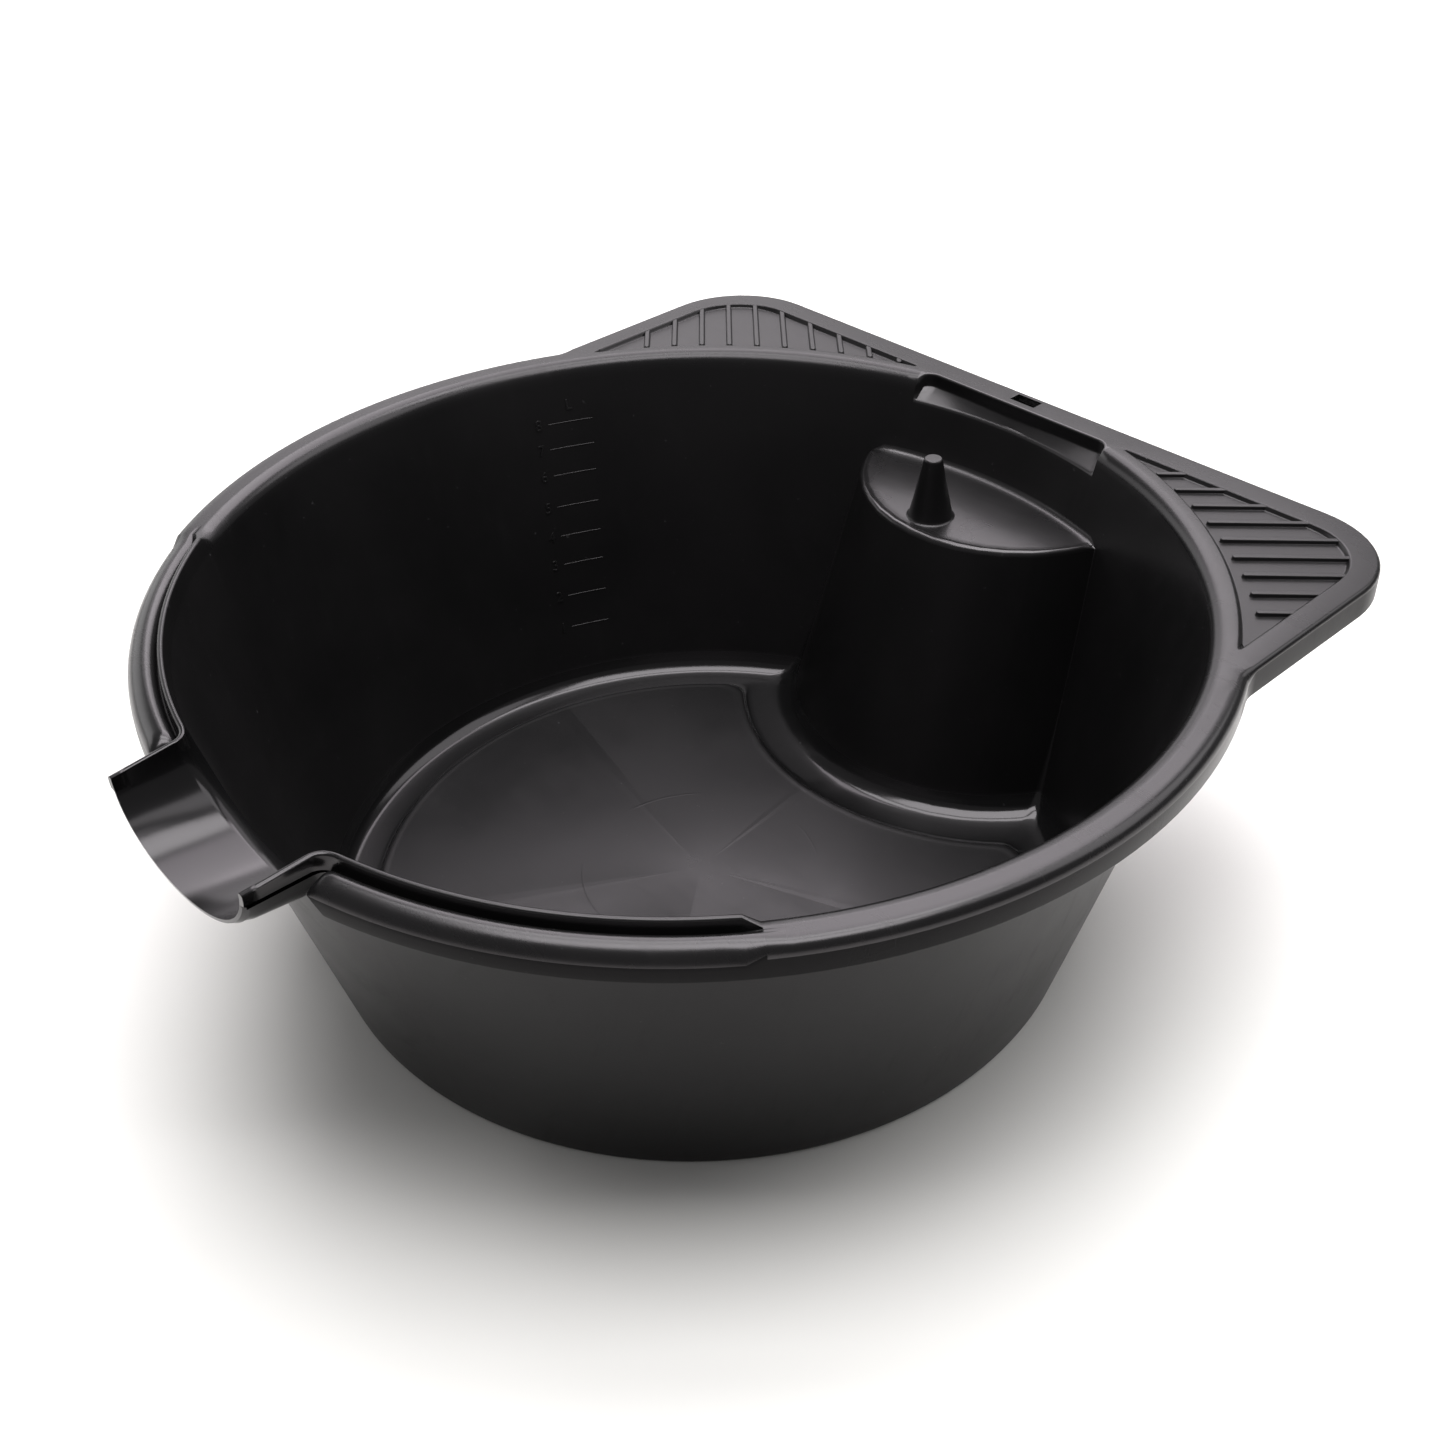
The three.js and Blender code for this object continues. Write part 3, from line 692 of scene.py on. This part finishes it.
def build(points, faces, regions):
    """The whole moulding: the right half and its mirror image, welded."""
    bm = bmesh.new()
    verts = [bm.verts.new(to_metres(p)) for p in points]
    flipped = [bm.verts.new(to_metres((-p[0], p[1], p[2]))) for p in points]
    for f, name in zip(faces, regions):
        index = REGIONS.index(name)
        for source, order in ((verts, f), (flipped, f[::-1])):
            face = bm.faces.new([source[i] for i in order])
            face.material_index = index
            face.smooth = True
    bmesh.ops.remove_doubles(bm, verts=bm.verts, dist=3e-5)
    bmesh.ops.dissolve_degenerate(bm, dist=5e-6, edges=bm.edges)
    bm.normal_update()
    return bm


def finished(bm, name, angle):
    """Mesh with area-weighted normals and creases at sharp edges."""
    me = bpy.data.meshes.new(name)
    bm.to_mesh(me)
    me.set_sharp_from_angle(angle=math.radians(angle))
    ob = bpy.data.objects.new(name, me)
    bpy.context.scene.collection.objects.link(ob)
    mod = ob.modifiers.new("normals", "WEIGHTED_NORMAL")
    mod.mode = "FACE_AREA"
    mod.weight = 50
    mod.keep_sharp = True
    deps = bpy.context.evaluated_depsgraph_get()
    out = bpy.data.meshes.new_from_object(ob.evaluated_get(deps))
    bpy.data.objects.remove(ob)
    bpy.data.meshes.remove(me)
    return out


body = build(skin.points, skin.faces, skin.regions)
top_mesh = finished(body, "skin_top", 38)

# inner faces of the backed regions, one skin thickness behind them
under = bmesh.new()
body.verts.ensure_lookup_table()
copies = {}
for f in body.faces:
    name = REGIONS[f.material_index]
    if name not in BACKED:
        continue
    order = []
    for v in reversed(f.verts):
        if v.index not in copies:
            co = v.co - v.normal * SKIN * 0.001
            co.z = max(co.z, 0.0)
            copies[v.index] = under.verts.new(co)
        order.append(copies[v.index])
    face = under.faces.new(order)
    face.material_index = f.material_index
    face.smooth = True
under.normal_update()
under_mesh = finished(under, "skin_under", 38)
body.free()
under.free()


# ---------------------------------------------------------------- materials
def plastic(name, tone=0.0045, rough=0.3, grain=0.12, flow=0.0, wear=0.5, sheen=0.5, patchy=0.04,
            front_sheen=None, outer_sheen=None):
    """Black plastic with cloudy gloss, fine grain, scuffs and dust.

    flow adds the faint sectors of the floor; front_sheen is the sheen reached towards the spout
    and outer_sheen that of the wall's outer face, where they differ from sheen.
    """
    mat = bpy.data.materials.new(name)
    mat.use_nodes = True
    nt = mat.node_tree
    nodes, links = nt.nodes, nt.links
    nodes.clear()
    out = nodes.new("ShaderNodeOutputMaterial")
    shader = nodes.new("ShaderNodeBsdfPrincipled")
    links.new(shader.outputs["BSDF"], out.inputs["Surface"])
    shader.inputs["IOR"].default_value = 1.45
    shader.inputs["Specular IOR Level"].default_value = sheen
    shader.inputs["Specular Tint"].default_value = (1.0, 0.95, 0.99, 1)
    coords = nodes.new("ShaderNodeTexCoord").outputs["Object"]

    def noise(scale, detail, rough_value=0.55, stretch=None):
        source = coords
        if stretch:
            mapping = nodes.new("ShaderNodeMapping")
            mapping.inputs["Scale"].default_value = stretch
            links.new(coords, mapping.inputs["Vector"])
            source = mapping.outputs["Vector"]
        n = nodes.new("ShaderNodeTexNoise")
        n.inputs["Scale"].default_value = scale
        n.inputs["Detail"].default_value = detail
        n.inputs["Roughness"].default_value = rough_value
        links.new(source, n.inputs["Vector"])
        return n.outputs["Fac"]

    def remap(value, a, b, c, d):
        m = nodes.new("ShaderNodeMapRange")
        m.inputs["From Min"].default_value = a
        m.inputs["From Max"].default_value = b
        m.inputs["To Min"].default_value = c
        m.inputs["To Max"].default_value = d
        links.new(value, m.inputs["Value"])
        return m.outputs["Result"]

    def math_node(kind, a, b):
        m = nodes.new("ShaderNodeMath")
        m.operation = kind
        for socket, value in zip(m.inputs, (a, b)):
            if isinstance(value, (int, float)):
                socket.default_value = value
            else:
                links.new(value, socket)
        return m.outputs["Value"]

    def plus(a, b):
        return math_node("ADD", a, b)

    def minus(a, b):
        return math_node("SUBTRACT", a, b)

    def times(a, b):
        return math_node("MULTIPLY", a, b)

    def separate():
        split = nodes.new("ShaderNodeSeparateXYZ")
        links.new(coords, split.inputs["Vector"])
        return split.outputs

    def about_axis():
        """Level coordinates about the basin's axis, and the distance from it."""
        split = separate()
        x = split["X"]
        y = minus(split["Y"], AXIS_Y * 0.001)
        return x, y, math_node("SQRT", plus(times(x, x), times(y, y)), 0)

    cloud = noise(14, 4)
    fine = noise(900, 3, 0.6)
    specks = noise(420, 2, 0.5)
    ramp = nodes.new("ShaderNodeValToRGB")
    ramp.color_ramp.elements[0].position = 0.3
    ramp.color_ramp.elements[0].color = (tone * 0.82, tone * 0.82, tone * 0.86, 1)
    ramp.color_ramp.elements[1].position = 0.72
    ramp.color_ramp.elements[1].color = (tone * 1.25, tone * 1.2, tone * 1.24, 1)
    links.new(cloud, ramp.inputs["Fac"])
    dust = remap(specks, 0.74, 0.8, 0.0, 1.0)
    mix = nodes.new("ShaderNodeMix")
    mix.data_type = "RGBA"
    links.new(times(dust, 0.35 * wear), mix.inputs["Factor"])
    links.new(ramp.outputs["Color"], mix.inputs["A"])
    mix.inputs["B"].default_value = (0.09, 0.09, 0.095, 1)
    links.new(mix.outputs["Result"], shader.inputs["Base Color"])

    roughness = remap(cloud, 0.3, 0.7, rough - patchy, rough + patchy)
    scuffs = remap(noise(30, 5, 0.7, (1, 6, 1)), 0.55, 0.75, 0.0, 0.07 * wear)
    roughness = plus(roughness, scuffs)
    height = plus(times(fine, grain), times(noise(60, 2), grain * 1.2))

    if flow:
        x, y, radius = about_axis()
        turns = times(plus(math_node("ARCTAN2", y, x), 3.4), 5 / (2 * math.pi))
        saw = math_node("FRACT", turns, 0)
        fade = remap(radius, 0.004, 0.03, 0.0, 1.0)
        roughness = plus(roughness, times(times(saw, fade), flow))
        ridge = remap(math_node("ABSOLUTE", minus(saw, 0.04), 0), 0.0, 0.035, 1.0, 0.0)
        height = plus(height, times(times(ridge, fade), 0.35))
        ring_line = remap(math_node("ABSOLUTE", minus(radius, 0.047), 0), 0.0, 0.0006, 1.0, 0.0)
        arc_mask = remap(noise(11, 1), 0.5, 0.56, 0.0, 1.0)
        height = plus(height, times(times(ring_line, arc_mask), 0.5))
    if outer_sheen:
        past_wall = minus(about_axis()[2], times(separate()["Z"], WALL_SLOPE))
        wall_base = WALL_BASE_R * 0.001
        graded = remap(past_wall, wall_base + 0.0008, wall_base + 0.0016, sheen, outer_sheen)
        links.new(graded, shader.inputs["Specular IOR Level"])
    if front_sheen:
        graded = remap(separate()["Y"], 0.1, -0.07, sheen, front_sheen)
        links.new(graded, shader.inputs["Specular IOR Level"])
    links.new(roughness, shader.inputs["Roughness"])
    bump = nodes.new("ShaderNodeBump")
    bump.inputs["Strength"].default_value = 0.6
    bump.inputs["Distance"].default_value = 0.0002
    links.new(height, bump.inputs["Height"])
    links.new(bump.outputs["Normal"], shader.inputs["Normal"])
    return mat


MATERIALS = {
    "floor_plate": plastic("floor_plastic", rough=0.31, grain=0.09, flow=0.12, wear=1.0, sheen=0.36,
                           patchy=0.09),
    "foot_ring": plastic("channel_plastic", rough=0.15, grain=0.03),
    # painted shade: tone 0.0036, darker than the rest of the one moulding, darkens the basin wall
    "basin_wall": plastic("wall_plastic", tone=0.0036, rough=0.34, grain=0.12, wear=0.8,
                          outer_sheen=0.27),
    # painted shade: tone 0.0034, darker than the rest of the one moulding, darkens the filter column
    "filter_column": plastic("column_plastic", tone=0.0034, rough=0.34, grain=0.12),
    "filter_shelf": plastic("shelf_plastic", rough=0.27, grain=0.07, sheen=0.78),
    "pour_spout": plastic("spout_plastic", rough=0.17, grain=0.03, wear=0.3),
    "splash_guard": plastic("guard_plastic", rough=0.27, grain=0.05),
    "rim_bead": plastic("bead_plastic", tone=0.005, rough=0.25, grain=0.08, wear=0.9, sheen=0.6),
    "rim_skirt": plastic("skirt_plastic", rough=0.28, grain=0.06, sheen=0.2, front_sheen=0.1),
    "rim_flange": plastic("rim_plastic", tone=0.005, rough=0.27, grain=0.1, wear=0.9, sheen=0.43,
                          front_sheen=0.6),
    "grip_frame": plastic("grip_plastic", tone=0.005, rough=0.27, grain=0.1, wear=0.9, sheen=0.43,
                          front_sheen=0.6),
    "grip_panel": plastic("panel_plastic", tone=0.005, rough=0.4, grain=0.16),
    "grip_skirt": plastic("edge_plastic", rough=0.34, grain=0.12, sheen=0.1),
    "grip_rib": plastic("rib_plastic", tone=0.005, rough=0.34, grain=0.1),
    "rest_ledge": plastic("ledge_plastic", rough=0.32, grain=0.06, sheen=0.75),
    "drain_cone": plastic("cone_plastic", rough=0.33, grain=0.1),
    "marks": plastic("mark_plastic", tone=0.006, rough=0.3, grain=0.04, wear=0.2),
}


def place(ob, material, *nodes):
    ob.data.materials.clear()
    ob.data.materials.append(material)
    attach(ob, "root")
    if nodes:
        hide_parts(*nodes)
    return ob


def cut_out(name, sources, chosen):
    """Copies the chosen faces into their own object, keeping the whole moulding's normals."""
    verts, faces, normals = [], [], []
    for source in sources:
        coords = np.empty(len(source.vertices) * 3)
        source.vertices.foreach_get("co", coords)
        coords = coords.reshape(-1, 3)
        corner_normals = np.empty(len(source.loops) * 3)
        source.corner_normals.foreach_get("vector", corner_normals)
        corner_normals = corner_normals.reshape(-1, 3)
        used = {}
        for poly in source.polygons:
            if not chosen(REGIONS[poly.material_index], poly.center):
                continue
            face = []
            for loop_index in poly.loop_indices:
                v = source.loops[loop_index].vertex_index
                if v not in used:
                    used[v] = len(verts)
                    verts.append(tuple(coords[v]))
                face.append(used[v])
                normals.append(tuple(corner_normals[loop_index]))
            faces.append(face)
    me = bpy.data.meshes.new(name)
    me.from_pydata(verts, [], faces)
    me.shade_smooth()
    me.normals_split_custom_set(normals)
    ob = bpy.data.objects.new(name, me)
    bpy.context.scene.collection.objects.link(ob)
    return ob


both = (top_mesh, under_mesh)
SINGLE = [
    "floor_plate", "foot_ring", "basin_wall", "filter_column", "filter_shelf", "rest_ledge", "grip_frame",
]
for region in SINGLE:
    wanted = ("basin_wall", "foot_side") if region == "basin_wall" else (region,)
    ob = cut_out(region + "_skin", both, lambda n, c, w=wanted: n in w)
    place(ob, MATERIALS[region], region)
ob = cut_out("pour_spout_skin", both, lambda n, c: n in ("pour_spout", "spout_side"))
place(ob, MATERIALS["pour_spout"], "pour_spout")
for side, sign in (("right", 1), ("left", -1)):
    for region in ("splash_guard", "rim_bead", "rim_skirt", "rim_flange", "grip_panel"):
        ob = cut_out(f"{region}_{side}_skin", both, lambda n, c, r=region, s=sign: n == r and c.x * s > 0)
        place(ob, MATERIALS[region], f"{region}_{side}")
    ob = cut_out(f"grip_skirt_{side}_skin", both, lambda n, c, s=sign: n == "grip_skirt" and c.x * s > 0.1)
    place(ob, MATERIALS["grip_skirt"], f"grip_skirt_{side}")
ob = cut_out("grip_skirt_back_skin", both, lambda n, c: n == "grip_skirt" and abs(c.x) <= 0.1)
place(ob, MATERIALS["grip_skirt"], "grip_skirt_back")


# ---------------------------------------------------------------- small pieces
def solid(name, rings):
    """Closed body from stacked rings of equal length."""
    verts = [to_metres(p) for r in rings for p in r]
    n = len(rings[0])
    faces = []
    for i in range(len(rings) - 1):
        for j in range(n):
            k = (j + 1) % n
            faces.append((i * n + j, i * n + k, (i + 1) * n + k, (i + 1) * n + j))
    faces.append(tuple((len(rings) - 1) * n + j for j in range(n)))
    faces.append(tuple(reversed(range(n))))
    bm = bmesh.new()
    made = [bm.verts.new(v) for v in verts]
    for f in faces:
        bm.faces.new([made[i] for i in f]).smooth = True
    bm.normal_update()
    me = finished(bm, name, 40)
    bm.free()
    ob = bpy.data.objects.new(name, me)
    bpy.context.scene.collection.objects.link(ob)
    return ob


# draining cone
cone_profile = [(10.0, 109.95), (9.3, 110.2), (8.95, 110.7), (8.75, 111.5), (7.4, 117.5), (5.1, 128.5),
                (3.8, 134.9), (3.55, 135.6), (3.0, 135.95)]
cone_rings = [[(CONE_X + r * math.cos(a), CONE_Y + r * math.sin(a), z)
               for a in np.linspace(0, 2 * math.pi, 48, endpoint=False)] for r, z in cone_profile]
place(solid("drain_cone_skin", cone_rings), MATERIALS["drain_cone"], "drain_cone")

# ribs in the corner grips
RIB_COUNT = 10
RIB_PITCH = 12.1
RIB_FIRST = -20.2
RIB_HALF = 1.15
RIB_START_R = 190.0
RIGHT_SHIFT = 0.8
# how much further out the right grip's ribs start, from the front one back
RIGHT_LEAD = (4.6, 3.9, 3.1, 2.2, 1.4, 0.7, 0.0, -0.8, -1.2, 2.0)
RIB_DIR = math.radians(43)
rib_axis = Vector((math.cos(RIB_DIR), math.sin(RIB_DIR)))
rib_side = Vector((-rib_axis.y, rib_axis.x))


def inside_panel(p):
    x, y = p
    cx, cy = PANEL_X - PANEL_CORNER_R, PANEL_Y - PANEL_CORNER_R
    if x > PANEL_X or y > PANEL_Y:
        return False
    if x > cx and y > cy and math.hypot(x - cx, y - cy) > PANEL_CORNER_R:
        return False
    return True


def rib_rings(index, side):
    offset = RIB_FIRST + RIB_PITCH * index
    start = math.sqrt(RIB_START_R ** 2 - offset ** 2)
    if side == "right":
        offset += RIGHT_SHIFT
        start += RIGHT_LEAD[index]

    def end_of(side_offset):
        t = start
        while inside_panel(rib_axis * t + rib_side * (offset + side_offset)) and t < 330:
            t += 0.05
        return t

    out = []
    for shrink, z in ((-0.25, PANEL_Z - 0.3), (-0.25, PANEL_Z), (0.0, PANEL_Z + 0.25), (0.06, 142.2),
                      (0.16, 142.5), (0.32, 142.7), (0.55, 142.75)):
        half = RIB_HALF - shrink
        ring_pts = []
        for a in np.linspace(90, 270, 9):
            t = start + 1.0 + half * math.cos(math.radians(a))
            s = half * math.sin(math.radians(a))
            ring_pts.append((t, s))
        ring_pts.append((end_of(-half) + 0.3, -half))
        ring_pts.append((end_of(half) + 0.3, half))
        pts = []
        for t, s in ring_pts:
            q = rib_axis * t + rib_side * (offset + s)
            pts.append((q.x, q.y, z))
        out.append(pts)
    return out


for index in range(RIB_COUNT):
    rings = rib_rings(index, "right")
    number = f"{index + 1:02d}"
    place(solid(f"grip_rib_right_{number}_skin", rings), MATERIALS["grip_rib"], f"grip_rib_right_{number}")
    flipped = [[(-x, y, z) for x, y, z in r][::-1] for r in rib_rings(index, "left")]
    place(solid(f"grip_rib_left_{number}_skin", flipped), MATERIALS["grip_rib"], f"grip_rib_left_{number}")

# raised level marks and their figures
LEVELS = (29.9, 44.1, 58.2, 70.8, 83.6, 97.2, 108.5, 119.1)
MARK_FROM = 241.7
MARK_TO = 248.35
MARK_POINTS = 14
MARK_LEAD = 0.18
FIGURE_AT = 249.2
FIGURE_SIZE = 6.2
for index, level in enumerate(LEVELS):
    rings = []
    lead = MARK_LEAD * (len(LEVELS) - 1 - index)
    for rise, spread in ((-0.3, 0.34), (0.03, 0.3), (0.09, 0.23), (0.13, 0.12)):
        loop_pts = []
        ends = 0.12 * (0.5 - spread) / 0.5
        alphas = np.linspace(MARK_FROM + lead + ends, MARK_TO + lead - ends, MARK_POINTS)
        for z, line in ((level - spread, alphas), (level + spread, alphas[::-1])):
            loop_pts += [at(wall_r(z) - rise, a, z) for a in line]
        rings.append(loop_pts)
    place(solid(f"litre_mark_{index + 1}_skin", [r[::-1] for r in rings]), MATERIALS["marks"],
          f"litre_mark_{index + 1}")


def figure(text, alpha, z, name):
    """Raised figure laid on the inner wall, reading left to right as seen from inside."""
    curve = bpy.data.curves.new(name, "FONT")
    curve.body = text
    curve.size = FIGURE_SIZE
    curve.extrude = 0.25
    curve.bevel_depth = 0.05
    curve.align_x = "RIGHT"
    curve.align_y = "CENTER"
    tmp = bpy.data.objects.new(name, curve)
    bpy.context.scene.collection.objects.link(tmp)
    deps = bpy.context.evaluated_depsgraph_get()
    me = bpy.data.meshes.new_from_object(tmp.evaluated_get(deps))
    bpy.data.objects.remove(tmp)
    for v in me.vertices:
        u, h, raise_by = v.co
        zz = z + h
        r = wall_r(zz) - 0.1 - raise_by
        v.co = to_metres(at(r, alpha - math.degrees(u / r), zz))
    ob = bpy.data.objects.new(name, me)
    bpy.context.scene.collection.objects.link(ob)
    return place(ob, MATERIALS["marks"])


for index, level in enumerate(LEVELS):
    lead = MARK_LEAD * (len(LEVELS) - 1 - index)
    figure(str(index + 1), FIGURE_AT + lead, level + 0.3, f"litre_figure_{index + 1}")
figure("L", 244.5, 126.2, "litre_unit")

# ---------------------------------------------------------------- stage, lights, camera
FLOOR_HALF = 4.0
FLOOR_Z = -0.0002
floor_me = bpy.data.meshes.new("studio_floor")
floor_corners = [(x * FLOOR_HALF, y * FLOOR_HALF, FLOOR_Z) for x, y in ((-1, -1), (1, -1), (1, 1), (-1, 1))]
floor_me.from_pydata(floor_corners, [], [(0, 1, 2, 3)])
floor_ob = bpy.data.objects.new("studio_floor", floor_me)
bpy.context.scene.collection.objects.link(floor_ob)
floor_mat = bpy.data.materials.new("studio_floor")
floor_mat.use_nodes = True
floor_shader = floor_mat.node_tree.nodes["Principled BSDF"]
floor_shader.inputs["Base Color"].default_value = (0.9, 0.887, 0.868, 1)
floor_shader.inputs["Roughness"].default_value = 0.9
floor_shader.inputs["Specular IOR Level"].default_value = 0.1
floor_me.materials.append(floor_mat)

world = bpy.data.worlds.new("studio")
bpy.context.scene.world = world
world.use_nodes = True
background = world.node_tree.nodes["Background"]
background.inputs["Color"].default_value = (1, 1, 1, 1)
background.inputs["Strength"].default_value = 0.21


def area(name, location, target, size_x, size_y, power, colour=(1, 1, 1)):
    data = bpy.data.lights.new(name, "AREA")
    data.shape = "RECTANGLE"
    data.size = size_x
    data.size_y = size_y
    data.energy = power
    data.color = colour
    ob = bpy.data.objects.new(name, data)
    ob.location = location
    ob.rotation_euler = (Vector(target) - Vector(location)).to_track_quat("-Z", "Y").to_euler()
    bpy.context.scene.collection.objects.link(ob)
    return ob


CAMERA_TURN = math.radians(-41.5)
SOFT = (1.0, 0.957, 0.992)
RIM_MIDDLE = (0, 0, 0.14)


def overhead(name, along, width, power):
    """Strip softbox overhead, its long side across the camera's azimuth."""
    spot = (along * math.cos(CAMERA_TURN), along * math.sin(CAMERA_TURN), 1.5)
    ob = area(name, spot, (0, 0, 0), width, 1.25, power)
    ob.rotation_euler = (0, 0, CAMERA_TURN)


overhead("top_softbox_a", -0.38, 0.44, 13)
overhead("top_softbox_b", 0.26, 0.62, 18.5)
area("back_softbox", (-0.684, 0.786, 1.22), RIM_MIDDLE, 1.09, 0.85, 12, SOFT)
area("side_softbox", (0.47, 0.81, 1.04), RIM_MIDDLE, 0.95, 0.75, 5)
area("left_panel", (-1.61, 0.97, 0.82), RIM_MIDDLE, 1.15, 1.1, 5.3, SOFT)
area("right_panel", (-0.745, 1.67, 0.95), RIM_MIDDLE, 1.2, 0.85, 3.3, SOFT)
area("low_panel", (-1.92, -0.34, 0.6), RIM_MIDDLE, 1.8, 0.85, 6.5)

# camera axes and place
RIGHT = Vector((0.68778, 0.72565, -0.01998))
UP = Vector((-0.41937, 0.41966, 0.80499))
FORWARD = Vector((-0.59253, 0.54528, -0.59295))
CAMERA_AT = (406.9, -360.6, 476.8)
camera_data = bpy.data.cameras.new("camera")
camera_data.sensor_width = 36
camera_data.lens = 44.8443
camera = bpy.data.objects.new("camera", camera_data)
bpy.context.scene.collection.objects.link(camera)
rotation = Matrix((RIGHT, UP, -FORWARD)).transposed()
camera.matrix_world = Matrix.Translation(to_metres(CAMERA_AT)) @ rotation.to_4x4()
camera_data.clip_end = 20
bpy.context.scene.camera = camera
bpy.context.scene.view_settings.view_transform = "Standard"
